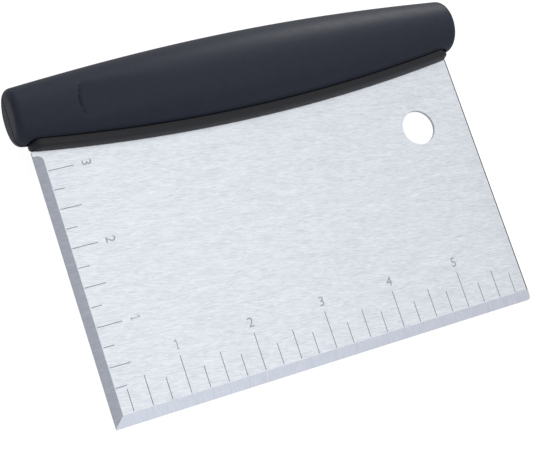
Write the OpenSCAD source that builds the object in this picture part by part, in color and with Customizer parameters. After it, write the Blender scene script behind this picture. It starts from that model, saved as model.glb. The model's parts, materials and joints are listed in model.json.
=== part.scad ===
// Bench scraper: a stainless blade in a two-part handle with a soft round grip.
// It lies face up as it rests on a bench: on the rear of its grip and on its cutting edge.
// Drawn flat first: X along the blade, Y from the cutting edge to the handle, Z out of the front face.

/* [Blade] */
// Width of the blade, along the cutting edge
blade_w = 151.6; // [100:0.1:220]
// Thickness of the steel
blade_t = 1.2; // [0.8:0.1:2]
// Height of the blade below the collar, at its two sides
side_h = 88.8; // [60:0.1:130]
// Width of the ground bevel along the cutting edge
edge_bevel = 3.5; // [1.5:0.1:8]
// Width of the ground bevel along the left side
side_bevel = 3.1; // [1.5:0.1:8]
// Steel left under the bevel along the cutting edge
edge_land = 0.4; // [0.2:0.05:0.7]
// Steel left under the bevel along the left side
side_land = 0.5; // [0.25:0.05:0.7]
// Plain steel between the top of the side bevel and the collar
bevel_stop = 1.7; // [0.5:0.1:6]
// Rounding of the side bevel's upper inner corner
bevel_round = 2; // [0.5:0.1:2.5]
// Rounding of the lower right corner
corner_r = 1; // [0.5:0.1:5]

/* [Hanging hole] */
// Diameter of the hanging hole
hole_d = 12; // [6:0.5:20]
// From the hole's centre to the right side of the blade
hole_side = 19.4; // [14:0.1:35]
// From the top of the blade's side, at the collar, down to the hole's centre
hole_down = 21.4; // [18:0.1:45]

/* [Rulers] */
// Length of one division of both rulers, a quarter of an inch
division = 6.35; // [4:0.05:8]
// From the left side of the blade to the zero of the lower ruler
edge_zero = 0.33; // [0:0.01:3]
// From the cutting edge to the zero of the left ruler
side_zero = 5.61; // [4.5:0.01:8]
// Length of the quarter, half and whole inch marks of the lower ruler
edge_marks = [7.0, 9.6, 12.3]; // [2:0.1:20]
// Length of the quarter, half and whole inch marks of the left ruler
side_marks = [3.6, 6.9, 8.2]; // [2:0.1:20]
// Width of a mark
mark_w = 0.35; // [0.2:0.05:0.6]
// Depth to which a mark is etched
mark_depth = 0.06; // [0.02:0.01:0.2]
// Plain steel between a bevel and the marks
mark_gap = 0.3; // [0.1:0.1:1]

/* [Handle] */
// How far the handle reaches past each side of the blade
overhang = 4.2; // [1.5:0.1:8]
// Diameter of the handle in the middle
mid_d = 27.2; // [21:0.1:36]
// Diameter of the handle at its ends
end_d = 18.1; // [15:0.1:21]
// Rounding of the handle's ends
end_round = 2.5; // [2.3:0.1:4]
// Thickness of the soft grip over the hard core
grip_wall = 2.2; // [1.5:0.1:2.3]
// Width and depth of the parting line between the grip halves
seam = [0.35, 0.4]; // [0.2:0.05:0.6]
// From the handle's left end to the step where the thumb rest starts
scoop_x = 21.8; // [10:0.1:60]
// Length over which the thumb rest runs out to the right
scoop_len = 24; // [15:0.5:35]
// Depth of the thumb rest at its step
scoop_depth = 1.2; // [0.5:0.1:1.3]

/* [Collar] */
// Thickness of the collar between the handle and the blade
collar_t = 7.6; // [6:0.1:9]
// Height of the collar's front face with its chamfer
collar_h = 3.2; // [2.5:0.1:5]
// How far the collar bows down in the middle
collar_bow = 5.2; // [2:0.1:8]
// Height of the chamfer under the collar
chamfer_h = 1.1; // [0.5:0.1:2]
// Plastic over the steel at the foot of the chamfer
lip = 0.4; // [0.3:0.1:1]
// How far the collar's ends reach past the blade
collar_over = 0.2; // [0:0.1:1]
// Gap between the collar and the grip
groove = 0.35; // [0.2:0.05:0.6]

/* [Inside] */
// Half the angle of the neck that joins the collar to the core, seen from the handle's axis
neck_angle = 11; // [8:0.5:14]
// How far the tang steps in from each side of the blade
tang_step = 10; // [8:0.5:20]
// Plastic of the core and its neck beyond the end and the sides of the tang
tang_cover = 2.2; // [1.5:0.1:3]
// Play around the outline of the steel inside the core
tang_gap = 0.1; // [0.05:0.05:0.3]
// Diameter of the pins that lock the tang
pin_d = 4.8; // [3:0.1:6]
// Play between a pin and its hole in the tang, on the diameter
pin_play = 0.2; // [0.05:0.05:0.4]
// Distance between the pins
pin_step = 50; // [20:1:60]
// Number of pins
pin_count = 3; // [2:1:3]
// Plastic of the core beyond the end of a pin
pin_cover = 1.2; // [1:0.1:3]

/* [Hidden] */
$fn = 96;
eps = 0.01;
far = 400;

half_w = blade_w / 2;
top = blade_t / 2;
handle_len = blade_w + 2 * overhang;
hole_up = side_h - hole_down;

// The collar's lower edge is an arc through both sides of the blade
arc_r = (half_w * half_w + collar_bow * collar_bow) / (2 * collar_bow);
arc_y = side_h - collar_bow + arc_r;

// The handle's axis: the grip just clears the top of the collar in the middle
mid_r = mid_d / 2;
end_r = end_d / 2;
grip_y = side_h - collar_bow + collar_h + sqrt(mid_r * mid_r - collar_t * collar_t / 4);

// The handle's side is an arc of this radius
bow = mid_r - end_r;
bow_r = (handle_len * handle_len / 4 + bow * bow) / (2 * bow);
core_end_r = end_r - grip_wall;
tang_top = grip_y + core_end_r - tang_cover;
pin_half = core_end_r - pin_cover;

// At rest the blade leans back until the edge and the grip touch the bench
reach = sqrt(grip_y * grip_y + top * top);
lean = asin(mid_r / reach) - atan2(top, grip_y);
edge_front = (top - edge_land) * sin(lean);
depth_mid = (edge_front + grip_y * cos(lean) + mid_r) / 2;

function handle_r(x) = sqrt(bow_r * bow_r - x * x) - (bow_r - mid_r);

// Puts the flat drawing in its place at rest
module rest() {
    translate([0, -depth_mid, top * cos(lean)]) rotate([lean, 0, 0]) children();
}

// Half of the outline of the handle, with its surface moved in by inset
module handle_outline(inset) {
    tip_r = max(end_round - inset, eps);
    corner_y = handle_len / 2 - inset - tip_r;
    corner_x = sqrt(pow(bow_r - inset - tip_r, 2) - corner_y * corner_y) - (bow_r - mid_r);
    slope = corner_y / (corner_x + bow_r - mid_r);
    intersection() {
        translate([0, -far]) square([far, 2 * far]);
        union() {
            intersection() {
                translate([mid_r - bow_r, 0]) circle(r = bow_r - inset, $fn = 720);
                polygon([
                    [0, -slope * (bow_r - mid_r)],
                    [2 * mid_r, -slope * (bow_r + mid_r)],
                    [2 * mid_r, slope * (bow_r + mid_r)],
                    [0, slope * (bow_r - mid_r)]
                ]);
            }
            square([2 * corner_x, handle_len - 2 * inset], center = true);
            for (side = [-1, 1]) translate([corner_x, side * corner_y]) circle(r = tip_r);
        }
    }
}

// The whole handle as one round body, with its surface moved in by inset
module handle_body(inset) {
    translate([0, grip_y, 0]) rotate([0, 90, 0]) rotate_extrude() handle_outline(inset);
}

// Endless strip along the collar's arc, made larger by grow
module collar_ring(grow) {
    half_t = collar_t / 2 + grow;
    inner = arc_r - collar_h - grow;
    translate([0, arc_y, 0]) rotate_extrude($fn = 720) polygon([
        [inner, -half_t],
        [arc_r - chamfer_h, -half_t],
        [arc_r, -top - lip],
        [arc_r, top + lip],
        [arc_r - chamfer_h, half_t],
        [inner, half_t]
    ]);
}

// The collar: the strip with round ends
module collar_body() {
    end_x = half_w + collar_over - collar_t / 2;
    intersection() {
        collar_ring(0);
        translate([0, grip_y, 0]) rotate([90, 0, 0]) linear_extrude(height = grip_y) {
            square([2 * end_x, collar_t], center = true);
            for (side = [-1, 1]) translate([side * end_x, 0]) circle(d = collar_t);
        }
    }
}

// The web between the collar and the core, whose sides point at the handle's axis
module neck() {
    neck_w = blade_w - 2 * (tang_step - tang_cover);
    foot = grip_y * tan(neck_angle);
    intersection() {
        translate([0, arc_y, 0]) cylinder(h = far, r = arc_r - collar_h / 2, center = true, $fn = 720);
        translate([-neck_w / 2, 0, 0]) rotate([90, 0, 90]) linear_extrude(height = neck_w)
            polygon([[grip_y, 0], [0, -foot], [0, foot]]);
    }
}

// Where the pins stand
module at_pins() {
    for (i = [0 : pin_count - 1]) {
        translate([(i - (pin_count - 1) / 2) * pin_step, grip_y, 0]) children();
    }
}

// Everything behind the level z
module behind(z) {
    translate([-far, -far, z - far]) cube([2 * far, 2 * far, far]);
}

// Outline of the steel with its tang, made larger by grow
module steel_outline(grow) {
    tang_half = half_w - tang_step + grow;
    difference() {
        translate([-half_w - grow, 0]) square([blade_w + 2 * grow, side_h + grow]);
        if (grow == 0) translate([half_w - corner_r, -eps]) difference() {
            square([corner_r + eps, corner_r + eps]);
            translate([0, corner_r + eps]) circle(r = corner_r);
        }
    }
    translate([-tang_half, side_h / 2]) square([2 * tang_half, tang_top + grow - side_h / 2]);
}

// Sloped cutter for a bevel: its inner line is at x = width, it runs up the Y axis
module bevel_cut(width, land, length) {
    fall = (blade_t - land) / width;
    translate([0, length, 0]) rotate([90, 0, 0]) linear_extrude(height = 2 * length) polygon([
        [width, top],
        [-1, top - fall * (width + 1)],
        [-1, blade_t],
        [width, blade_t]
    ]);
}

// Plan of the ground strip up the left side, with its rounded upper corner
module side_bevel_plan() {
    stop = side_h - bevel_stop;
    translate([-2, -2]) square([side_bevel + 2 - bevel_round, stop + 2]);
    translate([-2, -2]) square([side_bevel + 2, stop + 2 - bevel_round]);
    translate([side_bevel - bevel_round, stop - bevel_round]) circle(r = bevel_round);
}

// One etched mark for each division: kinds[0], [1] and [2] are quarter, half and whole inches
module marks(count, kinds) {
    for (i = [1 : count]) {
        size = i % 4 == 0 ? kinds[2] : i % 2 == 0 ? kinds[1] : kinds[0];
        translate([i * division - mark_w / 2, 0, top - mark_depth]) cube([mark_w, size, blade_t]);
    }
}

module blade() {
    edge_count = floor((blade_w - edge_zero - division / 2) / division);
    side_count = floor((side_h - side_zero - bevel_stop - division / 2) / division);
    color("gainsboro") rest() difference() {
        linear_extrude(height = blade_t, center = true) steel_outline(0);
        rotate([0, 0, 90]) mirror([0, 1, 0]) bevel_cut(edge_bevel, edge_land, blade_w);
        translate([-half_w, 0, 0]) intersection() {
            bevel_cut(side_bevel, side_land, side_h);
            linear_extrude(height = 3 * blade_t, center = true) side_bevel_plan();
        }
        translate([half_w - hole_side, hole_up, 0]) cylinder(h = 3 * blade_t, d = hole_d, center = true);
        translate([edge_zero - half_w, edge_bevel + mark_gap, 0]) marks(edge_count, edge_marks);
        translate([side_bevel + mark_gap - half_w, side_zero, 0]) rotate([0, 0, 90]) mirror([0, 1, 0])
            marks(side_count, side_marks);
        at_pins() cylinder(h = 3 * blade_t, d = pin_d + pin_play, center = true);
    }
}

// The hard core's front half, with its half of the collar
module core_half() {
    difference() {
        union() {
            handle_body(grip_wall);
            neck();
            collar_body();
        }
        linear_extrude(height = blade_t, center = true) steel_outline(tang_gap);
        at_pins() cylinder(h = 2 * pin_half, d = pin_d, center = true);
        behind(0);
    }
}

module core_front() {
    color("#2b2b2f") rest() core_half();
}

module core_rear() {
    color("#2b2b2f") rest() mirror([0, 0, 1]) core_half();
}

module tang_pins() {
    color("dimgray") rest() at_pins() cylinder(h = 2 * pin_half, d = pin_d, center = true);
}

// The soft grip's front half over the core, stepped in at the parting line
module grip_half() {
    difference() {
        union() {
            difference() {
                handle_body(0);
                behind(seam[0] / 2);
            }
            difference() {
                handle_body(seam[1]);
                behind(0);
            }
        }
        handle_body(grip_wall);
        neck();
        collar_ring(groove);
    }
}

// Shallow flat in the front of the grip: deepest at the step on its left, running out to the right
module thumb_rest() {
    left = scoop_x - handle_len / 2;
    right = left + scoop_len;
    translate([0, grip_y, 0]) rotate([90, 0, 0]) linear_extrude(height = mid_d, center = true) polygon([
        [left, handle_r(left) - scoop_depth],
        [right, handle_r(right)],
        [right, mid_d],
        [left, mid_d]
    ]);
}

module grip_front() {
    color("#2e323c") rest() difference() {
        grip_half();
        thumb_rest();
    }
}

module grip_rear() {
    color("#2e323c") rest() mirror([0, 0, 1]) grip_half();
}

blade();
core_front();
core_rear();
tang_pins();
grip_front();
grip_rear();
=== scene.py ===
"""Looks of a bench scraper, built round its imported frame.

Every new piece is drawn flat first, in millimetres: X along the blade, Y from the cutting edge
to the handle, Z out of the blade's front face. A Placement then lays it down as it rests.
"""

import json
import logging
from contextlib import contextmanager
from dataclasses import dataclass, field
from enum import Enum
from math import atan, atan2, cos, exp, pi, radians, sin, sqrt
from typing import Callable, Iterator

import bmesh
import bpy
from mathutils import Euler, Matrix, Vector


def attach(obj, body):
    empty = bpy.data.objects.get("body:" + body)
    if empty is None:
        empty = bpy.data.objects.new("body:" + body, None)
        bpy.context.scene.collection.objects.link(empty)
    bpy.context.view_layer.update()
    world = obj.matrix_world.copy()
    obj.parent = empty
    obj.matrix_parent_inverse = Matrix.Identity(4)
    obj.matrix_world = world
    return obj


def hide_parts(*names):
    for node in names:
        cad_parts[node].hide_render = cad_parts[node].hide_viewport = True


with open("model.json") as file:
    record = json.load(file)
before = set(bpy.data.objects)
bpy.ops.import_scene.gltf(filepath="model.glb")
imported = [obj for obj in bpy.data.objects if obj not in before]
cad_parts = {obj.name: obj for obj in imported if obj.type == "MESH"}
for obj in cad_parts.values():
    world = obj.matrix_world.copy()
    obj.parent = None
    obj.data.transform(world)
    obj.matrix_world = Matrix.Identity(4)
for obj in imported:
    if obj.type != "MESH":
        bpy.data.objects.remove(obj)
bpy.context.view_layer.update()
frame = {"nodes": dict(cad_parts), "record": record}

log = logging.getLogger("bench_scraper")

MM = 0.001
FAR = 400.0
BODY = "root"
# A face whose normal has at least this share of a direction counts as facing that way.
FACING = 0.9
# The middle values of a noise, over which a moulded finish goes from its dark colour to its light one.
PATCH_RANGE = (0.3, 0.7)
# Which half of a split piece faces which way along Z.
HALVES = {"front": 1, "rear": -1}


# ---------------------------------------------------------------- modelling helpers


class Part(Enum):
    """What an edit-mode selection is made of."""

    EDGE = "edges"
    FACE = "faces"


def activate(obj: bpy.types.Object) -> None:
    """Deselects everything, then selects one object and makes it the active one."""
    bpy.ops.object.select_all(action="DESELECT")
    obj.select_set(True)
    bpy.context.view_layer.objects.active = obj


@contextmanager
def edit_mode(obj: bpy.types.Object) -> Iterator[None]:
    """Opens an object in edit mode, and closes it again.

    Args:
        obj: The object to edit.
    """
    activate(obj)
    bpy.ops.object.mode_set(mode="EDIT")
    yield
    bpy.ops.object.mode_set(mode="OBJECT")


def pick(obj: bpy.types.Object, part: Part, test: Callable[..., bool]) -> None:
    """Selects the edges or faces that pass a test, and nothing else, in edit mode.

    Args:
        obj: The object in edit mode.
        part: Whether edges or faces are tested.
        test: Says whether one edge or face is wanted.
    """
    is_edge = part is Part.EDGE
    bpy.context.tool_settings.mesh_select_mode = (False, is_edge, not is_edge)
    bpy.ops.mesh.select_all(action="DESELECT")
    mesh = bmesh.from_edit_mesh(obj.data)
    for element in getattr(mesh, part.value):
        element.select_set(test(element))
    mesh.select_flush_mode()
    bmesh.update_edit_mesh(obj.data)


def slice_all(place: Vector, normal: Vector, **what: bool) -> None:
    """Bisects the whole mesh in edit mode.

    Args:
        place: A point of the cutting plane, in metres.
        normal: The plane's normal.
        what: Further settings, such as clear_outer and use_fill.
    """
    bpy.ops.mesh.select_all(action="SELECT")
    bpy.ops.mesh.bisect(plane_co=place, plane_no=normal, **what)


def slice_across(x: float) -> None:
    """Bisects the whole mesh across the blade at x, in millimetres, in edit mode."""
    slice_all(Vector((x * MM, 0, 0)), Vector((1, 0, 0)))


def settle(name: str) -> bpy.types.Object:
    """Bakes the newest object's place, turn and size into its mesh, names it and returns it."""
    bpy.ops.object.transform_apply(location=True, rotation=True, scale=True)
    made = bpy.context.object
    made.name = name
    return made


def block(name: str, low: tuple[float, ...], high: tuple[float, ...]) -> bpy.types.Object:
    """Adds a box between two corners.

    Args:
        name: The new object's name.
        low: Its lowest corner, in millimetres.
        high: Its highest corner, in millimetres.

    Returns:
        The box, with its place in its mesh.
    """
    centre = [(a + b) / 2 * MM for a, b in zip(low, high)]
    size = [(b - a) * MM for a, b in zip(low, high)]
    bpy.ops.mesh.primitive_cube_add(size=1, location=centre, scale=size)
    return settle(name)


def rod(name: str, x: float, y: float, radius: float, half_length: float, sides: int) -> bpy.types.Object:
    """Adds a round rod that stands across the blade.

    Args:
        name: The new object's name.
        x: Its place along the blade, in millimetres.
        y: Its place from the cutting edge, in millimetres.
        radius: Its radius, in millimetres.
        half_length: Half its length, in millimetres.
        sides: How many sides its circle has.

    Returns:
        The rod, with its place in its mesh.
    """
    bpy.ops.mesh.primitive_cylinder_add(
        vertices=sides, radius=radius * MM, depth=2 * half_length * MM, location=(x * MM, y * MM, 0)
    )
    return settle(name)


def use_modifier(obj: bpy.types.Object, kind: str, **settings: object) -> None:
    """Adds a modifier and applies it.

    Args:
        obj: The object that gets it.
        kind: The modifier's type.
        settings: Its settings by name.
    """
    activate(obj)
    modifier = obj.modifiers.new(kind.lower(), kind)
    for name, value in settings.items():
        setattr(modifier, name, value)
    bpy.ops.object.modifier_apply(modifier=modifier.name)


class Join(Enum):
    """How one solid is combined with another."""

    CUT = "DIFFERENCE"
    ADD = "UNION"
    KEEP = "INTERSECT"


def combine(obj: bpy.types.Object, other: bpy.types.Object, how: Join) -> None:
    """Combines a solid with another one, which is used up.

    Args:
        obj: The solid that is changed.
        other: The solid that cuts it, is added to it or limits it.
        how: Which of these.
    """
    use_modifier(obj, "BOOLEAN", object=other, operation=how.value, solver="EXACT", material_mode="TRANSFER")
    bpy.data.objects.remove(other)


def duplicate(obj: bpy.types.Object, name: str) -> bpy.types.Object:
    """Copies an object with a mesh of its own.

    Args:
        obj: The object to copy.
        name: The copy's name.

    Returns:
        The copy.
    """
    copy = obj.copy()
    copy.data = obj.data.copy()
    copy.name = name
    bpy.context.scene.collection.objects.link(copy)
    return copy


def join(objects: list[bpy.types.Object], name: str) -> bpy.types.Object:
    """Joins objects into one mesh.

    Args:
        objects: What is joined.
        name: The result's name.

    Returns:
        The joined object.
    """
    activate(objects[0])
    for obj in objects[1:]:
        obj.select_set(True)
    bpy.ops.object.join()
    objects[0].name = name
    return objects[0]


def paint(obj: bpy.types.Object, *finishes: bpy.types.Material) -> None:
    """Gives an object its materials, in the order of its slots, in place of any that it has.

    Args:
        obj: The object.
        finishes: The materials.
    """
    obj.data.materials.clear()
    for finish in finishes:
        obj.data.materials.append(finish)


def smooth(obj: bpy.types.Object, angle: float) -> None:
    """Shades an object smooth across its edges of up to an angle in degrees."""
    activate(obj)
    bpy.ops.object.shade_smooth_by_angle(angle=radians(angle))


def split(whole: bpy.types.Object, name: str) -> list[bpy.types.Object]:
    """Parts a piece at the middle of the steel.

    Args:
        whole: The piece, which is used up.
        name: What the names of both halves start with.

    Returns:
        The front half and the rear half.
    """
    made = []
    for end, side in HALVES.items():
        half = duplicate(whole, f"{name}_{end}")
        low, high = sorted((0.0, -side * FAR))
        combine(half, block("away", (-FAR, -FAR, low), (FAR, FAR, high)), Join.CUT)
        made.append(half)
    bpy.data.objects.remove(whole)
    return made


def reshape(obj: bpy.types.Object, move: Callable[[Vector], Vector]) -> None:
    """Moves every point of a mesh.

    Args:
        obj: The object to shape.
        move: Gives a point's new place from its old one, both in millimetres.
    """
    for vertex in obj.data.vertices:
        vertex.co = move(vertex.co / MM) * MM


def face_outwards(obj: bpy.types.Object) -> None:
    """Merges doubled points and turns every face outwards."""
    with edit_mode(obj):
        bpy.ops.mesh.select_all(action="SELECT")
        bpy.ops.mesh.remove_doubles(threshold=0.0005 * MM)
        bpy.ops.mesh.normals_make_consistent(inside=False)


def soft_min(a: float, b: float, radius: float) -> float:
    """Returns the smaller of two heights, with the corner between them rounded."""
    share = max(radius - abs(a - b), 0.0) / radius
    return min(a, b) - share * share * radius / 4


# ---------------------------------------------------------------- where things are


@dataclass(frozen=True)
class Placement:
    """Where the flat drawing lies at rest: leaned back, with its edge and grip on the bench."""

    lean: float
    offset: Vector

    @classmethod
    def of_record(cls, record: dict, hole_up: float) -> "Placement":
        """Works the placement out from the hanging hole's mount.

        Args:
            record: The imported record.
            hole_up: From the cutting edge to the hole's centre, in millimetres.

        Returns:
            The placement.
        """
        mount = next(m for m in record["mounts"] if m["name"] == "hang_hole")
        axis, centre = Vector(mount["axis"]), Vector(mount["pos_m"])
        lean = atan2(-axis.y, axis.z)
        up_the_blade = Vector((0, cos(lean), sin(lean)))
        return cls(lean, Vector((0, centre.y, centre.z)) - hole_up * MM * up_the_blade)

    @property
    def matrix(self) -> Matrix:
        """The flat drawing's place in the row frame."""
        return Matrix.Translation(self.offset) @ Matrix.Rotation(self.lean, 4, "X")

    def lay_down(self, obj: bpy.types.Object) -> None:
        """Moves a finished mesh from the flat drawing to its place at rest."""
        obj.data.transform(self.matrix)
        obj.data.update()


# ---------------------------------------------------------------- finishes


def linear(hex_colour: str) -> tuple[float, float, float, float]:
    """Turns an sRGB hex colour into the linear one that shaders need.

    Args:
        hex_colour: Six hex digits, such as "dde5ee".

    Returns:
        Red, green, blue and an alpha of 1.
    """
    shares = [int(hex_colour[i : i + 2], 16) / 255 for i in (0, 2, 4)]
    return (*(s / 12.92 if s <= 0.04045 else ((s + 0.055) / 1.055) ** 2.4 for s in shares), 1.0)


def add_node(
    tree: bpy.types.NodeTree, kind: str, inputs: dict | None = None, **settings: object
) -> bpy.types.Node:
    """Adds a node with its settings, values and links.

    Args:
        tree: The node tree it goes into.
        kind: The node's type name.
        inputs: For each input by name or number, a value or the output socket that feeds it.
        settings: The node's own settings by name.

    Returns:
        The new node.
    """
    node = tree.nodes.new(kind)
    for name, value in settings.items():
        setattr(node, name, value)
    for name, value in (inputs or {}).items():
        if isinstance(value, bpy.types.NodeSocket):
            tree.links.new(value, node.inputs[name])
        else:
            node.inputs[name].default_value = value
    return node


def blank_material(name: str) -> bpy.types.Material:
    """Returns a new material with an empty node tree."""
    made = bpy.data.materials.new(name)
    made.use_nodes = True
    made.node_tree.nodes.clear()
    return made


def map_range(
    tree: bpy.types.NodeTree,
    value: bpy.types.NodeSocket,
    given: tuple[float, ...],
    wanted: tuple[float, ...],
    **settings: object,
) -> bpy.types.NodeSocket:
    """Adds a node that maps one range of values to another.

    Args:
        tree: The node tree it goes into.
        value: The output socket that feeds it.
        given: The lowest and the highest value that come in.
        wanted: What these two become.
        settings: The node's own settings by name.

    Returns:
        The node's output.
    """
    ends = {"From Min": given[0], "From Max": given[1], "To Min": wanted[0], "To Max": wanted[1]}
    return add_node(tree, "ShaderNodeMapRange", {"Value": value, **ends}, **settings).outputs[0]


def add_surface(tree: bpy.types.NodeTree, inputs: dict) -> None:
    """Adds a principled shader and the material's output.

    Args:
        tree: The material's node tree.
        inputs: For each of the shader's inputs by name, a value or the output socket that feeds it.
    """
    shader = add_node(tree, "ShaderNodeBsdfPrincipled", inputs)
    add_node(tree, "ShaderNodeOutputMaterial", {"Surface": shader.outputs[0]})


class Grain(Enum):
    """Which way a finish runs on the flat blade: the turn about Z of its long direction."""

    ALONG_EDGE = 0.0
    UP_THE_BLADE = pi / 2


@dataclass(frozen=True)
class Steel:
    """Stainless steel, brushed or ground: long scratches that make light and dark streaks."""

    name: str
    light: str
    dark: str
    roughness: float
    grain: Grain
    slant: float = 0.0
    streak_length: float = 2.6
    streak_width: float = 0.27
    patch_length: float = 9.0
    patch_width: float = 1.8
    patch_share: float = 0.22
    waviness: float = 0.8
    contrast: tuple[float, ...] = (0.36, 0.64)
    unevenness: float = 0.05
    depth: float = 0.004

    def material(self, placement: Placement) -> bpy.types.Material:
        """Builds the material.

        Args:
            placement: Where the blade lies, so that the grain follows it.

        Returns:
            The material.
        """
        made = blank_material(self.name)
        tree = made.node_tree
        place = add_node(tree, "ShaderNodeTexCoord").outputs["Object"]
        along = self.grain.value + radians(self.slant)
        turn = Euler((placement.lean, 0, 0)).to_matrix() @ Euler((0, 0, along)).to_matrix()
        fields = []
        # The real scratches are a few hundredths of a millimetre wide: these streaks are as fine as shows.
        for length, width, detail in (
            (self.streak_length, self.streak_width, 4.0),
            (self.patch_length, self.patch_width, 2.0),
        ):
            size = (length * MM, width * MM, length * MM)
            laid = {"Location": placement.offset, "Rotation": turn.to_euler(), "Scale": size}
            mapped = add_node(tree, "ShaderNodeMapping", {"Vector": place, **laid}, vector_type="TEXTURE")
            waves = {"Scale": 1.0, "Detail": detail, "Roughness": 0.6, "Distortion": self.waviness}
            noise = add_node(tree, "ShaderNodeTexNoise", {"Vector": mapped.outputs[0], **waves})
            fields.append(noise.outputs["Fac"])
        mix = {"Factor": self.patch_share, "A": fields[0], "B": fields[1]}
        blended = add_node(tree, "ShaderNodeMix", mix, data_type="FLOAT")
        streaks = map_range(tree, blended.outputs[0], self.contrast, (0.0, 1.0))
        ramp = add_node(tree, "ShaderNodeValToRGB", {"Fac": streaks})
        ramp.color_ramp.elements[0].color = linear(self.dark)
        ramp.color_ramp.elements[1].color = linear(self.light)
        spread = (self.roughness - self.unevenness, self.roughness + self.unevenness)
        rough = map_range(tree, fields[0], (0.0, 1.0), spread)
        relief = {"Strength": 0.5, "Distance": self.depth * MM, "Height": fields[0]}
        bump = add_node(tree, "ShaderNodeBump", relief)
        metal = {"Metallic": 1.0, "Roughness": rough, "Normal": bump.outputs["Normal"]}
        add_surface(tree, {"Base Color": ramp.outputs["Color"], **metal})
        return made


@dataclass(frozen=True)
class Moulded:
    """A finish without direction, as moulded plastic has: one colour with a fine, slightly uneven grain."""

    name: str
    light: str
    dark: str
    roughness: float
    unevenness: float
    grain_size: float
    grain_depth: float
    patch_size: float
    metallic: float = 0.0
    specular: float = 0.5

    def material(self) -> bpy.types.Material:
        """Returns the material, built from its colours and its grain."""
        made = blank_material(self.name)
        tree = made.node_tree
        place = add_node(tree, "ShaderNodeTexCoord").outputs["Object"]
        large = {"Scale": 1 / (self.patch_size * MM), "Detail": 3.0}
        fine = {"Scale": 1 / (self.grain_size * MM), "Detail": 2.0, "Roughness": 0.6}
        patches, grain = (
            add_node(tree, "ShaderNodeTexNoise", {"Vector": place, **size}).outputs["Fac"]
            for size in (large, fine)
        )
        ramp = add_node(tree, "ShaderNodeValToRGB", {"Fac": patches})
        for stop, place_along, colour in zip(ramp.color_ramp.elements, PATCH_RANGE, (self.dark, self.light)):
            stop.position = place_along
            stop.color = linear(colour)
        spread = (self.roughness - self.unevenness, self.roughness + self.unevenness)
        relief = {"Strength": 0.6, "Distance": self.grain_depth * MM, "Height": grain}
        bump = add_node(tree, "ShaderNodeBump", relief)
        add_surface(
            tree,
            {
                "Base Color": ramp.outputs["Color"],
                "Metallic": self.metallic,
                "Roughness": map_range(tree, patches, PATCH_RANGE, spread),
                "Normal": bump.outputs["Normal"],
                "Specular IOR Level": self.specular,
            },
        )
        return made


# Rolled sheet brushed a few degrees off the cutting edge: pale, with short wavy streaks.
BRUSHED = Steel("brushed_stainless_sheet", "f6faff", "d6dce5", 0.36, Grain.ALONG_EDGE, slant=-7.5)
# Bevels ground on a belt that runs across them: darker, with close straight scratches. Besides its grain,
# the edge bevel's copy is painted lighter, as painted light, and the side bevel's copy a shade darker, as
# painted shade, for how the light falls on each.
GROUND = {"streak_width": 0.3, "patch_length": 8.0, "patch_width": 1.6}
GROUND_EDGE_LIT = Steel("ground_stainless_edge", "d8dde9", "c7ccda", 0.30, Grain.UP_THE_BLADE, **GROUND)
GROUND_SIDE_SHADED = Steel("ground_stainless_side", "d3d8e4", "c0c5d4", 0.30, Grain.ALONG_EDGE, **GROUND)
# The drawn-in front of the punched right side, with a torn grain. Its nearly black colour is painted shade:
# a dark line along the right edge, in place of the bright floor that the facet would reflect.
TORN = {"grain_size": 0.25, "grain_depth": 0.010, "patch_size": 0.9}
PUNCHED_SHADE = Moulded("punched_stainless", "363b42", "2a2e34", 0.5, 0.06, **TORN, metallic=0.2)
# Marks burnt into the sheet: dull grey, with the metal just showing.
BURNT = {"grain_size": 0.2, "grain_depth": 0.004, "patch_size": 0.8}
ETCHED = Moulded("etched_mark", "9aa0aa", "8a9099", 0.6, 0.05, **BURNT, metallic=0.35)
# Figures burnt in with a finer dot, which leaves more of the metal bright.
FINE_DOT = BURNT | {"grain_depth": 0.003}
FIGURE = Moulded("etched_figure", "bcc3cd", "aeb5c0", 0.55, 0.05, **FINE_DOT, metallic=0.5)
# Thermoplastic rubber over the core: blue-black, soft and matt, with a dusty bloom.
RUBBER = {"grain_size": 0.35, "grain_depth": 0.012, "patch_size": 2.4}
SOFT_TOUCH = Moulded("soft_touch_rubber", "2a2f3e", "242a38", 0.5, 0.04, **RUBBER, specular=0.3)
# The parting line, where no light gets in: the same rubber, nearly black.
SHADED = Moulded("soft_touch_rubber_in_shade", "0a0b0e", "07080a", 0.7, 0.04, **RUBBER, specular=0.1)
# Polypropylene from a fine-sparked mould: black with a low gloss.
SPARKED = {"grain_size": 0.3, "grain_depth": 0.010, "patch_size": 1.6}
CORE = Moulded("moulded_polypropylene", "1e1f27", "17181f", 0.42, 0.05, **SPARKED, specular=0.4)
# Nylon pins, plain and dull.
NYLON = {"grain_size": 0.3, "grain_depth": 0.008, "patch_size": 1.2}
PIN = Moulded("moulded_nylon", "5c5c5a", "50504e", 0.5, 0.04, **NYLON)


# ---------------------------------------------------------------- the blade


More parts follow.
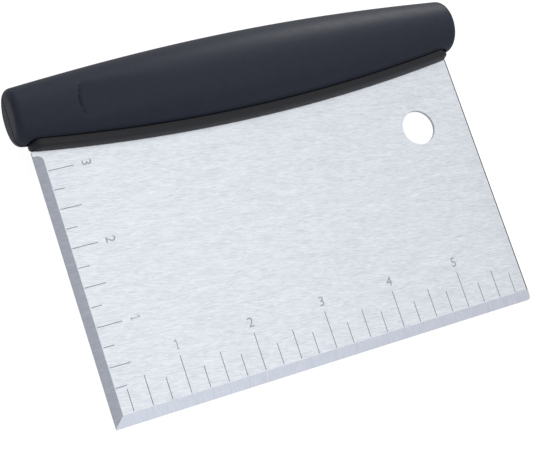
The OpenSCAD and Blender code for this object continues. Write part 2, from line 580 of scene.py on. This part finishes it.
@dataclass
class Blade:
    """The stainless plate with its tang, ground bevels, hanging hole and rulers, in millimetres."""

    width: float = 151.6
    thickness: float = 1.2
    side_height: float = 88.8
    edge_bevel: float = 3.5
    edge_land: float = 0.4
    side_bevel: float = 3.1
    side_land: float = 0.5
    bevel_stop: float = 1.7
    bevel_round: float = 2.0
    corner_radius: float = 1.0
    hole_diameter: float = 12.0
    hole_side: float = 19.4
    hole_up: float = 67.4
    hole_sides: int = 96
    tang_step: float = 10.0
    tang_cover: float = 2.2
    tang_top: float = 104.5
    tang_hole: float = 5.0
    tang_hole_y: float = 99.86
    tang_hole_step: float = 50.0
    tang_hole_sides: int = 48
    edge_break: float = 0.09
    punched_chamfer: float = 0.6
    near: float = 0.05
    division: float = 6.35
    edge_zero: float = 0.33
    side_zero: float = 5.61
    edge_marks: tuple[float, ...] = (7.0, 9.6, 12.3)
    side_marks: tuple[float, ...] = (3.6, 6.9, 8.2)
    edge_count: int = 23
    side_count: int = 12
    mark_width: float = 0.23
    mark_depth: float = 0.06
    mark_gap: float = 0.3
    digit_height: float = 3.1
    digit_line: float = 0.26
    foot_width: float = 1.0
    flag_length: float = 0.8
    flag_slope: float = 0.75
    edge_digit_gap: float = 1.9
    side_digit_gap: float = 2.7
    quarters: int = 4

    @property
    def half(self) -> float:
        """Half the blade's width."""
        return self.width / 2

    @property
    def top(self) -> float:
        """The front face's height over the middle of the steel."""
        return self.thickness / 2

    @property
    def tang_holes(self) -> list[float]:
        """The places along the blade of the holes in its tang."""
        return [i * self.tang_hole_step for i in (-1, 0, 1)]

    def blank(self, name: str, gap: float) -> bpy.types.Object:
        """Models the plain steel with its tang.

        Args:
            name: The new object's name.
            gap: How much larger than the steel it is all round, for the room that the steel needs.

        Returns:
            The plain plate.
        """
        half_t = self.top + gap
        made = block(name, (-self.half - gap, 0, -half_t), (self.half + gap, self.side_height + gap, half_t))
        tang_half = self.half - self.tang_step + gap
        with edit_mode(made):
            for x in (-tang_half, tang_half):
                slice_across(x)
            pick(made, Part.FACE, lambda f: f.normal.y > FACING and abs(f.calc_center_median().x) < MM)
            rise = (self.tang_top - self.side_height) * MM
            bpy.ops.mesh.extrude_region_move(TRANSFORM_OT_translate={"value": (0, rise, 0)})
        return made

    def round_corner(self, plate: bpy.types.Object) -> None:
        """Rounds the lower right corner of the plate."""
        inner, low = (self.half - self.near) * MM, self.near * MM
        with edit_mode(plate):
            pick(plate, Part.EDGE, lambda e: all(v.co.x > inner and v.co.y < low for v in e.verts))
            bpy.ops.mesh.bevel(offset=self.corner_radius * MM, segments=6, affect="EDGES")

    def grind_edge(self, plate: bpy.types.Object) -> None:
        """Takes the wedge off the front of the cutting edge.

        Args:
            plate: The plate to grind.
        """
        fall = self.thickness - self.edge_land
        with edit_mode(plate):
            slice_all(
                Vector((0, self.edge_bevel, self.top)) * MM,
                Vector((0, -fall, self.edge_bevel)).normalized(),
                use_fill=True,
                clear_outer=True,
            )

    def side_grinder(self) -> bpy.types.Object:
        """Returns the solid that the left side's bevel takes away, with its rounded upper corner."""
        inner = self.side_bevel - self.half
        stop = self.side_height - self.bevel_stop
        beyond = 2.0
        past = Vector((inner - self.near, stop - self.near)) * MM
        outer, high = -self.half - beyond, self.thickness
        made = block("side_grinder", (outer, -beyond, -high), (inner, stop, high))
        fall = self.thickness - self.side_land
        with edit_mode(made):
            pick(made, Part.EDGE, lambda e: all(v.co.x > past.x and v.co.y > past.y for v in e.verts))
            bpy.ops.mesh.bevel(offset=self.bevel_round * MM, segments=10, affect="EDGES")
            slice_all(
                Vector((inner, 0, self.top)) * MM,
                Vector((-fall, 0, self.side_bevel)).normalized(),
                use_fill=True,
                clear_inner=True,
            )
        return made

    def holes(self) -> list[bpy.types.Object]:
        """Returns the rods that the hanging hole and the tang's holes take away."""
        x, radius = self.half - self.hole_side, self.hole_diameter / 2
        made = [rod("hang_hole", x, self.hole_up, radius, self.thickness, self.hole_sides)]
        radius = self.tang_hole / 2
        for x in self.tang_holes:
            made.append(rod("tang_hole", x, self.tang_hole_y, radius, self.thickness, self.tang_hole_sides))
        return made

    def ease_edges(self, plate: bpy.types.Object) -> None:
        """Breaks every edge a little, and more so where punching drew the front of the right side in.

        Args:
            plate: The plate with its bevels and holes, whose material slot 3 is the punched steel, painted
                nearly black as shade.
        """
        past = Vector((self.half - self.near, 0, self.top - self.near)) * MM

        def punched(edge: bmesh.types.BMEdge) -> bool:
            """Says whether an edge runs along the front of the right side."""
            return all(v.co.z > past.z and v.co.x > past.x for v in edge.verts)

        with edit_mode(plate):
            pick(plate, Part.EDGE, lambda e: e.calc_face_angle(0.0) > radians(8) and not punched(e))
            bpy.ops.mesh.bevel(offset=self.edge_break * MM, segments=2, affect="EDGES", miter_outer="ARC")
            pick(plate, Part.EDGE, punched)
            # The punched chamfer gets slot 3, the nearly black steel: a painted shade line along the right
            # edge.
            bpy.ops.mesh.bevel(offset=self.punched_chamfer * MM, segments=1, affect="EDGES", material=3)

    def mark_size(self, i: int, sizes: tuple[float, ...]) -> float:
        """Returns the length of the mark that stands i divisions from zero."""
        if i % self.quarters == 0:
            return sizes[2]
        return sizes[1] if i % 2 == 0 else sizes[0]

    def mark(self, low_x: float, low_y: float, size_x: float, size_y: float) -> bpy.types.Object:
        """Returns the solid that one mark takes away, given its corner and its sizes."""
        floor = self.top - self.mark_depth
        return block("mark", (low_x, low_y, floor), (low_x + size_x, low_y + size_y, self.thickness))

    def plain_figure(self, figure: str) -> bpy.types.Object:
        """Returns a figure as a solid of any size, from the plain built-in lettering."""
        bpy.ops.object.text_add()
        text = bpy.context.object
        text.data.body = figure
        text.data.extrude = 0.5
        text.data.resolution_u = 3
        bpy.ops.object.convert(target="MESH")
        made = bpy.context.object
        made.name = "figure"
        return made

    def plain_one(self) -> bpy.types.Object:
        """Returns the figure 1 as a solid, with a flag and a foot."""
        high, half_line, half_foot = self.digit_height / 2, self.digit_line / 2, self.foot_width / 2
        # Each stroke is a little deeper than the one before, so that no two faces coincide.
        made = block("figure", (-half_line, -high, -1), (half_line, high, 1))
        foot = block("foot", (-half_foot, -high - half_line, -1.1), (half_foot, half_line - high, 1.1))
        flag = block("flag", (-self.flag_length, high - 2 * half_line, -1.2), (0, high + half_line / 2, 1.2))
        reshape(flag, lambda p: Vector((p.x, p.y + p.x * self.flag_slope, p.z)))
        for stroke in (foot, flag):
            combine(made, stroke, Join.ADD)
        return made

    def digit(self, figure: str, x: float, y: float, turned: bool) -> bpy.types.Object:
        """Makes the solid that one figure of a ruler takes away.

        Args:
            figure: The figure.
            x: Its middle along the blade.
            y: Its middle from the cutting edge.
            turned: Whether its top points to the right, as on the left ruler.

        Returns:
            The figure as a solid.
        """
        made = self.plain_one() if figure == "1" else self.plain_figure(figure)
        points = [v.co.copy() for v in made.data.vertices]
        low = Vector(min(p[i] for p in points) for i in range(3))
        high = Vector(max(p[i] for p in points) for i in range(3))
        scale = self.digit_height / (high.y - low.y)
        middle = (low + high) / 2
        for vertex in made.data.vertices:
            local = (vertex.co - middle) * scale
            z = self.top - self.mark_depth if local.z < 0 else self.thickness
            across, up = (local.y, -local.x) if turned else (local.x, local.y)
            vertex.co = Vector((x + across, y + up, z)) * MM
        face_outwards(made)
        return made

    def rulers(self) -> bpy.types.Object:
        """Returns everything that is etched: both rulers' marks and figures, as one solid."""
        lines, figures = [], []
        foot = self.edge_bevel + self.mark_gap
        wing = self.side_bevel + self.mark_gap - self.half
        for i in range(1, self.edge_count + 1):
            size = self.mark_size(i, self.edge_marks)
            x = self.edge_zero + i * self.division - self.half
            lines.append(self.mark(x - self.mark_width / 2, foot, self.mark_width, size))
            if i % self.quarters == 0:
                y = foot + size + self.edge_digit_gap + self.digit_height / 2
                figures.append(self.digit(str(i // self.quarters), x, y, False))
        for i in range(1, self.side_count + 1):
            size = self.mark_size(i, self.side_marks)
            y = self.side_zero + i * self.division
            lines.append(self.mark(wing, y - self.mark_width / 2, size, self.mark_width))
            if i % self.quarters == 0:
                x = wing + size + self.side_digit_gap + self.digit_height / 2
                figures.append(self.digit(str(i // self.quarters), x, y, True))
        for etched, finish in ((lines, ETCHED), (figures, FIGURE)):
            look = finish.material()
            for piece in etched:
                paint(piece, look)
        return join(lines + figures, "rulers")

    def paint_bevels(self, plate: bpy.types.Object) -> None:
        """Gives the ground bevels their material slots: 1 along the edge, 2 up the side."""
        for face in plate.data.polygons:
            tilt = face.normal
            if FACING < tilt.z < 0.99:
                face.material_index = 1 if tilt.y < -0.1 else 2

    def build(self, placement: Placement) -> bpy.types.Object:
        """Models and dresses the blade.

        Args:
            placement: Where it lies at rest.

        Returns:
            The finished piece.
        """
        made = self.blank("blade_plate", 0)
        self.round_corner(made)
        self.grind_edge(made)
        combine(made, self.side_grinder(), Join.CUT)
        for hole in self.holes():
            combine(made, hole, Join.CUT)
        steels = [finish.material(placement) for finish in (BRUSHED, GROUND_EDGE_LIT, GROUND_SIDE_SHADED)]
        paint(made, *steels, PUNCHED_SHADE.material())
        self.paint_bevels(made)
        self.ease_edges(made)
        combine(made, self.rulers(), Join.CUT)
        smooth(made, 30)
        use_modifier(made, "WEIGHTED_NORMAL", keep_sharp=True)
        placement.lay_down(made)
        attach(made, BODY)
        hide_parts("blade")
        return made


# ---------------------------------------------------------------- the handle


@dataclass
class Barrel:
    """The round of the handle: a bowed axis, a radius that falls to the ends, and rounded ends."""

    left: float = -79.35
    right: float = 80.0
    axis_y: float = 99.9
    axis_rise: float = 0.72
    middle_radius: float = 13.55
    fall: float = 4.446
    ease: float = 0.296
    station: float = 75.8
    end_round: float = 2.5
    least_round: float = 0.2
    end_share: float = 0.07

    def axis(self, x: float) -> float:
        """Returns the axis's place from the cutting edge at x."""
        return self.axis_y + self.axis_rise * (x / self.station) ** 2

    def radius(self, x: float) -> float:
        """Returns the round's radius at x, the end rounding left out."""
        share = (x / self.station) ** 2
        return self.middle_radius - self.fall * share + self.ease * share * share

    def end_arc(self, side: int) -> tuple[float, float, float]:
        """Works out the arc that rounds one end.

        Args:
            side: -1 for the left end and 1 for the right one.

        Returns:
            The arc's centre along the handle, its centre's height and the angle where it meets the side.
        """
        end = self.left if side < 0 else self.right
        step = 0.01
        centre_x = end - side * self.end_round
        slope = abs(self.radius(centre_x + step) - self.radius(centre_x)) / step
        meet = atan(1 / slope)
        side_x = centre_x + side * self.end_round * cos(meet)
        return centre_x, self.radius(side_x) - self.end_round * sin(meet), meet

    def profile(self, share: float, inset: float) -> tuple[float, float]:
        """Follows the outline from one end to the other.

        Args:
            share: How far along it, from 0 to 1.
            inset: How far the surface is moved in.

        Returns:
            The place along the handle and the radius there.
        """
        rounding = max(self.end_round - inset, self.least_round)
        arcs = [(side, *self.end_arc(side)) for side in (-1, 1)]
        side, centre_x, centre_r, meet = arcs[1 if share > 0.5 else 0]
        from_end = min(share, 1 - share) / self.end_share
        if from_end < 1:
            turn = from_end * meet
            return centre_x + side * rounding * cos(turn), centre_r + rounding * sin(turn)
        left, right = (x + end * rounding * cos(turn) for end, x, _, turn in arcs)
        x = left + (right - left) * (share - self.end_share) / (1 - 2 * self.end_share)
        return x, self.radius(x) - inset

    def solid(self, name: str, inset: float, around: int, cuts: int) -> bpy.types.Object:
        """Models the round as a closed body.

        Args:
            name: The new object's name.
            inset: How far its surface is moved in.
            around: How many sides it has.
            cuts: How many rings lie between its ends.

        Returns:
            The body, bowed and rounded.
        """
        bpy.ops.mesh.primitive_cylinder_add(
            vertices=around, radius=MM, depth=MM, rotation=(0, pi / 2, 0), end_fill_type="NGON"
        )
        made = settle(name)
        with edit_mode(made):
            pick(made, Part.EDGE, lambda e: abs(e.verts[0].co.x - e.verts[1].co.x) > 0.5 * MM)
            bpy.ops.mesh.subdivide(number_cuts=cuts)
            pick(made, Part.FACE, lambda f: abs(f.normal.x) > FACING)
            bpy.ops.mesh.inset(thickness=0.5 * MM, use_individual=True)
        half_side = pi / around

        def move(point: Vector) -> Vector:
            """Puts one point of the plain rod on the outline."""
            x, radius = self.profile(min(max(point.x + 0.5, 0.0), 1.0), inset)
            turn = atan2(point.z, point.y) + half_side
            far_out = radius * min(sqrt(point.y**2 + point.z**2), 1.0)
            return Vector((x, self.axis(x) + far_out * cos(turn), far_out * sin(turn)))

        reshape(made, move)
        face_outwards(made)
        return made


@dataclass
class Collar:
    """The hard plastic lip between handle and blade, and the core that it belongs to."""

    blade: Blade
    barrel: Barrel
    thickness: float = 7.6
    height: float = 3.2
    bow: float = 5.2
    chamfer: float = 1.1
    foot_lip: float = 0.4
    overhang: float = 0.6
    shift: float = 0.3
    end_round_share: float = 0.98
    end_bulge: float = 0.24
    bulge_stations: tuple[float, ...] = (0.3, 0.5, 0.7, 0.85)
    edge_round: float = 0.28
    station: float = 4.0
    neck_half: float = 2.4
    wall: float = 2.2
    steel_gap: float = 0.02
    pin_radius: float = 2.4
    pin_half: float = 5.65
    around: int = 48
    cuts: int = 40

    def lift(self, x: float) -> float:
        """Returns the height of the collar's lower edge at x, along its arc."""
        half = self.blade.half
        arc = (half * half + self.bow * self.bow) / (2 * self.bow)
        return self.blade.side_height - self.bow + arc - sqrt(arc * arc - x * x)

    def bend(self, obj: bpy.types.Object) -> None:
        """Bends a straight strip, drawn up from Y 0, along the collar's arc."""
        reshape(obj, lambda p: Vector((p.x, p.y + self.lift(p.x), p.z)))

    def cross_cut(self, half_length: float) -> None:
        """Cuts a straight strip across at even stations, in edit mode, so that it can bend."""
        count = int(half_length / self.station)
        for i in range(-count, count + 1):
            slice_across(i * self.station)

    def strip(self, name: str, grow: float) -> bpy.types.Object:
        """Models the collar's bar with round ends.

        Args:
            name: The new object's name.
            grow: How much larger than the collar it is, for the slot that holds the collar.

        Returns:
            The bar, bent along the arc.
        """
        half_t = self.thickness / 2 + grow
        half_l = self.blade.half + self.overhang + grow
        top = self.height + grow
        low = self.chamfer if grow == 0 else -grow
        made = block(name, (-half_l, low, -half_t), (half_l, top, half_t))
        with edit_mode(made):
            pick(made, Part.EDGE, lambda e: abs(e.verts[0].co.y - e.verts[1].co.y) > 0.5 * MM)
            bpy.ops.mesh.bevel(offset=half_t * self.end_round_share * MM, segments=10, affect="EDGES")
            self.cross_cut(half_l - half_t)
            if grow == 0:
                for share in self.bulge_stations:
                    slice_all(Vector((0, (low + (top - low) * share) * MM, 0)), Vector((0, 1, 0)))
                pick(made, Part.FACE, lambda f: f.normal.y < -FACING)
                bpy.ops.mesh.extrude_region_move(TRANSFORM_OT_translate={"value": (0, -low * MM, 0)})
                narrow = (self.blade.top + self.foot_lip) / half_t
                short = self.blade.half / half_l
                bpy.ops.transform.resize(value=(short, 1, narrow), center_override=(0, 0, 0))
        if grow == 0:
            rounding = {"width": self.edge_round * MM, "segments": 3}
            use_modifier(made, "BEVEL", limit_method="ANGLE", angle_limit=radians(30), **rounding)
            reshape(made, lambda p: self.bulge(p, half_l - half_t))
        reshape(made, lambda p: p + Vector((self.shift, 0, 0)))
        self.bend(made)
        face_outwards(made)
        return made

    def bulge(self, point: Vector, straight: float) -> Vector:
        """Rounds the collar's ends from top to bottom too.

        Args:
            point: A point of the straight strip.
            straight: Where the round end starts.

        Returns:
            The point's new place.
        """
        past = abs(point.x) - straight
        if past <= 0:
            return point
        middle = self.height / 2
        share = 1 - self.end_bulge * ((point.y - middle) / middle) ** 2
        side = 1 if point.x > 0 else -1
        return Vector((side * (straight + past * share), point.y, point.z))

    def neck(self, name: str, grow: float) -> bpy.types.Object:
        """Returns the web that joins the collar to the core, larger by grow."""
        half_l = self.blade.half - self.blade.tang_step + self.blade.tang_cover + grow
        half_t = self.neck_half + grow
        made = block(name, (-half_l, self.height / 2, -half_t), (half_l, 4 * self.height, half_t))
        with edit_mode(made):
            self.cross_cut(half_l - self.station / 4)
        self.bend(made)
        face_outwards(made)
        return made

    def build(self, placement: Placement) -> list[bpy.types.Object]:
        """Models and dresses both halves of the core, each with its half of the collar.

        Args:
            placement: Where they lie at rest.

        Returns:
            The front half and the rear half.
        """
        whole = self.barrel.solid("core", self.wall, self.around, self.cuts)
        combine(whole, self.neck("neck", 0), Join.ADD)
        combine(whole, self.strip("collar", 0), Join.ADD)
        combine(whole, self.blade.blank("steel_slot", self.steel_gap), Join.CUT)
        for x in self.blade.tang_holes:
            pin = rod("pin_room", x, self.blade.tang_hole_y, self.pin_radius, self.pin_half, self.around)
            combine(whole, pin, Join.CUT)
        halves = split(whole, "core_half")
        for half, end in zip(halves, HALVES):
            paint(half, CORE.material())
            smooth(half, 25)
            placement.lay_down(half)
            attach(half, BODY)
            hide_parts(f"core_{end}")
        return halves


@dataclass
class ThumbRest:
    """The shallow flat in the grip's front: deepest at its curved left step, it runs out to the right."""

    left: float = -58.9
    length: float = 24.0
    depth: float = 1.2
    tilt: float = 9.0
    step_curve: float = 0.05
    corner: float = 0.8
    crease_depth: float = 0.3
    crease_width: float = 0.5
    step_width: float = 0.35
    finer: int = 3

    def refine(self, grip: bpy.types.Object) -> None:
        """Divides the faces where the flat goes, so that its step is crisp.

        Args:
            grip: The grip's whole round.
        """
        beyond, front = 3.0, 2.0

        def near(face: bmesh.types.BMFace) -> bool:
            """Says whether a face lies on the front, where the flat goes."""
            middle = face.calc_center_median() / MM
            return self.left - beyond < middle.x < self.left + self.length + beyond and middle.z > front

        with edit_mode(grip):
            pick(grip, Part.FACE, near)
            bpy.ops.mesh.subdivide(number_cuts=self.finer)

    def press(self, barrel: Barrel, point: Vector) -> Vector:
        """Moves one point of the grip's surface in where the flat is.

        Args:
            barrel: The grip's round.
            point: The point, in millimetres.

        Returns:
            Its new place.
        """
        turn = Matrix.Rotation(radians(self.tilt), 3, "X")
        axis = Vector((point.x, barrel.axis(point.x), 0))
        local = (point - axis) @ turn
        along = point.x - self.left - self.step_curve * local.y**2
        if local.z <= 0 or along < -self.crease_width * 3:
            return point
        low, high = barrel.radius(self.left) - self.depth, barrel.radius(self.left + self.length)
        level = low + (high - low) * max(along, 0.0) / self.length
        flat = soft_min(local.z, level, self.corner)
        step = min(1.0, max(0.0, 0.5 + along / (2 * self.step_width)))
        crease = self.crease_depth * exp(-((along / self.crease_width) ** 2))
        share = min(1.0, max(0.0, (local.z - level) / self.crease_depth))
        local.z += (flat - local.z) * step * step * (3 - 2 * step) - crease * share
        return axis + turn @ local


@dataclass
class Grip:
    """The soft grip: two half shells over the core, with a parting line between them."""

    barrel: Barrel
    collar: Collar
    thumb_rest: ThumbRest = field(default_factory=ThumbRest)
    seam_width: float = 0.7
    seam_depth: float = 1.0
    groove: float = 0.3
    neck_gap: float = 0.1
    around: int = 128
    cuts: int = 170

    def seam(self) -> bpy.types.Object:
        """Returns the thin ring that the parting line takes away."""
        beyond = 0.5
        around, cuts = self.around // 2, self.cuts // 2
        made = self.barrel.solid("seam", -beyond, around, cuts)
        combine(made, self.barrel.solid("seam_floor", self.seam_depth, around, cuts), Join.CUT)
        half = self.seam_width / 2
        combine(made, block("slab", (-FAR, -FAR, -half), (FAR, FAR, half)), Join.KEEP)
        made.data.materials.append(SHADED.material())
        return made

    def build(self, placement: Placement) -> list[bpy.types.Object]:
        """Models and dresses both half shells.

        Args:
            placement: Where they lie at rest.

        Returns:
            The front half and the rear half.
        """
        whole = self.barrel.solid("grip", 0, self.around, self.cuts)
        self.thumb_rest.refine(whole)
        reshape(whole, lambda p: self.thumb_rest.press(self.barrel, p))
        whole.data.materials.append(SOFT_TOUCH.material())
        core = self.collar
        combine(whole, self.barrel.solid("hollow", core.wall, core.around, core.cuts), Join.CUT)
        combine(whole, core.strip("collar_slot", self.groove), Join.CUT)
        combine(whole, core.neck("neck_slot", self.neck_gap), Join.CUT)
        combine(whole, self.seam(), Join.CUT)
        halves = split(whole, "grip_shell")
        for half, end in zip(halves, HALVES):
            smooth(half, 35)
            placement.lay_down(half)
            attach(half, BODY)
            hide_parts(f"grip_{end}")
        return halves


# ---------------------------------------------------------------- the studio


@dataclass
class Studio:
    """A plain pale floor, soft light and the camera."""

    camera_place: tuple[float, ...] = (-174.17, -14.62, 387.07)
    camera_aim: tuple[float, ...] = (-9.98, 45.33, 0.6)
    camera_roll: float = 18.45
    lens: float = 89.16
    floor_size: float = 6000.0
    floor_drop: float = 0.05
    floor_glow: float = 0.93
    floor_bounce: float = 0.3
    overhead: float = 0.52
    bright_side: float = 1.12
    brighten: tuple[float, ...] = (-0.14, 0.16)
    far_side: float = 0.655
    fade: tuple[float, ...] = (0.3, 0.6)
    horizon: float = 0.35
    rise: tuple[float, ...] = (0.1, 0.5)
    softbox_place: tuple[float, ...] = (380.0, 520.0, 190.0)
    softbox_size: tuple[float, ...] = (260.0, 200.0)
    softbox_power: float = 1.2

    def floor(self) -> None:
        """Adds the floor: pale, glowing a little so that shadows on it stay faint."""
        bpy.ops.mesh.primitive_plane_add(size=self.floor_size * MM, location=(0, 0, -self.floor_drop * MM))
        plane = bpy.context.object
        plane.name = "floor"
        made = blank_material("studio_floor")
        tree = made.node_tree
        seen = add_node(tree, "ShaderNodeLightPath").outputs["Is Camera Ray"]
        add_surface(
            tree,
            {
                "Base Color": linear("808080"),
                "Roughness": 0.9,
                "Emission Color": linear("ffffff"),
                "Emission Strength": map_range(tree, seen, (0.0, 1.0), (self.floor_bounce, self.floor_glow)),
            },
        )
        plane.data.materials.append(made)

    def sky(self) -> None:
        """Lights the room from all round: brighter on the right, dimmer overhead and on the left."""
        world = bpy.data.worlds.new("studio")
        world.use_nodes = True
        tree = world.node_tree
        tree.nodes.clear()
        direction = add_node(tree, "ShaderNodeTexCoord").outputs["Generated"]
        parts = add_node(tree, "ShaderNodeSeparateXYZ", {0: direction})
        factors = [
            map_range(tree, parts.outputs[axis], given, wanted, interpolation_type="SMOOTHSTEP")
            for axis, given, wanted in (
                ("X", self.brighten, (self.overhead, self.bright_side)),
                ("X", self.fade, (1.0, self.far_side)),
                ("Z", self.rise, (self.horizon, 1.0)),
            )
        ]
        strength = factors[0]
        for factor in factors[1:]:
            product = add_node(tree, "ShaderNodeMath", {0: strength, 1: factor}, operation="MULTIPLY")
            strength = product.outputs[0]
        glow = add_node(
            tree, "ShaderNodeBackground", {"Color": linear("ffffff"), "Strength": strength}
        )
        add_node(tree, "ShaderNodeOutputWorld", {"Surface": glow.outputs[0]})
        bpy.context.scene.world = world

    def softbox(self) -> None:
        """Hangs a soft lamp behind the handle, on the right, for the sheen along its top."""
        data = bpy.data.lights.new("softbox", "AREA")
        data.energy = self.softbox_power
        data.shape = "RECTANGLE"
        data.size = self.softbox_size[0] * MM
        data.size_y = self.softbox_size[1] * MM
        made = bpy.data.objects.new("softbox", data)
        bpy.context.scene.collection.objects.link(made)
        place = Vector(self.softbox_place) * MM
        made.location = place
        made.rotation_mode = "QUATERNION"
        made.rotation_quaternion = place.to_track_quat("Z", "Y")

    def camera(self, placement: Placement) -> None:
        """Stands the camera in front of the blade, to its lower left, and tilts it.

        Args:
            placement: Where the flat drawing lies at rest.
        """
        place, aim = Vector(self.camera_place) * MM, Vector(self.camera_aim) * MM
        forward = (aim - place).normalized()
        level_up = (Vector((0, 1, 0)) - forward * forward.y).normalized()
        side = forward.cross(level_up)
        roll = radians(self.camera_roll)
        up = level_up * cos(roll) + side * sin(roll)
        right = forward.cross(up)
        stand = Matrix((right, up, -forward)).transposed().to_4x4()
        stand.translation = place
        data = bpy.data.cameras.new("camera")
        data.lens = self.lens
        data.clip_start = 0.01
        data.clip_end = 20.0
        made = bpy.data.objects.new("camera", data)
        bpy.context.scene.collection.objects.link(made)
        made.matrix_world = placement.matrix @ stand
        bpy.context.scene.camera = made

    def build(self, placement: Placement) -> None:
        """Sets up the floor, the light and the camera.

        Args:
            placement: Where the flat drawing lies at rest.
        """
        bpy.context.scene.view_settings.view_transform = "Standard"
        self.floor()
        self.sky()
        self.softbox()
        self.camera(placement)


# ---------------------------------------------------------------- putting it together


def dress_pins() -> bpy.types.Object:
    """Gives the pins, whose shape is right already, their nylon, and returns their node."""
    pins = frame["nodes"]["tang_pins"]
    paint(pins, PIN.material())
    return pins


def main() -> None:
    """Builds every piece in order, then the studio."""
    logging.basicConfig(level=logging.INFO, format="%(name)s: %(message)s")
    blade = Blade()
    barrel = Barrel()
    collar = Collar(blade, barrel)
    placement = Placement.of_record(frame["record"], blade.hole_up)
    Studio().build(placement)
    pieces = [blade.build(placement)]
    pieces += collar.build(placement)
    pieces += Grip(barrel, collar).build(placement)
    pieces.append(dress_pins())
    for piece in pieces:
        log.info("%s: %d faces", piece.name, len(piece.data.polygons))


if __name__ == "__main__":
    main()
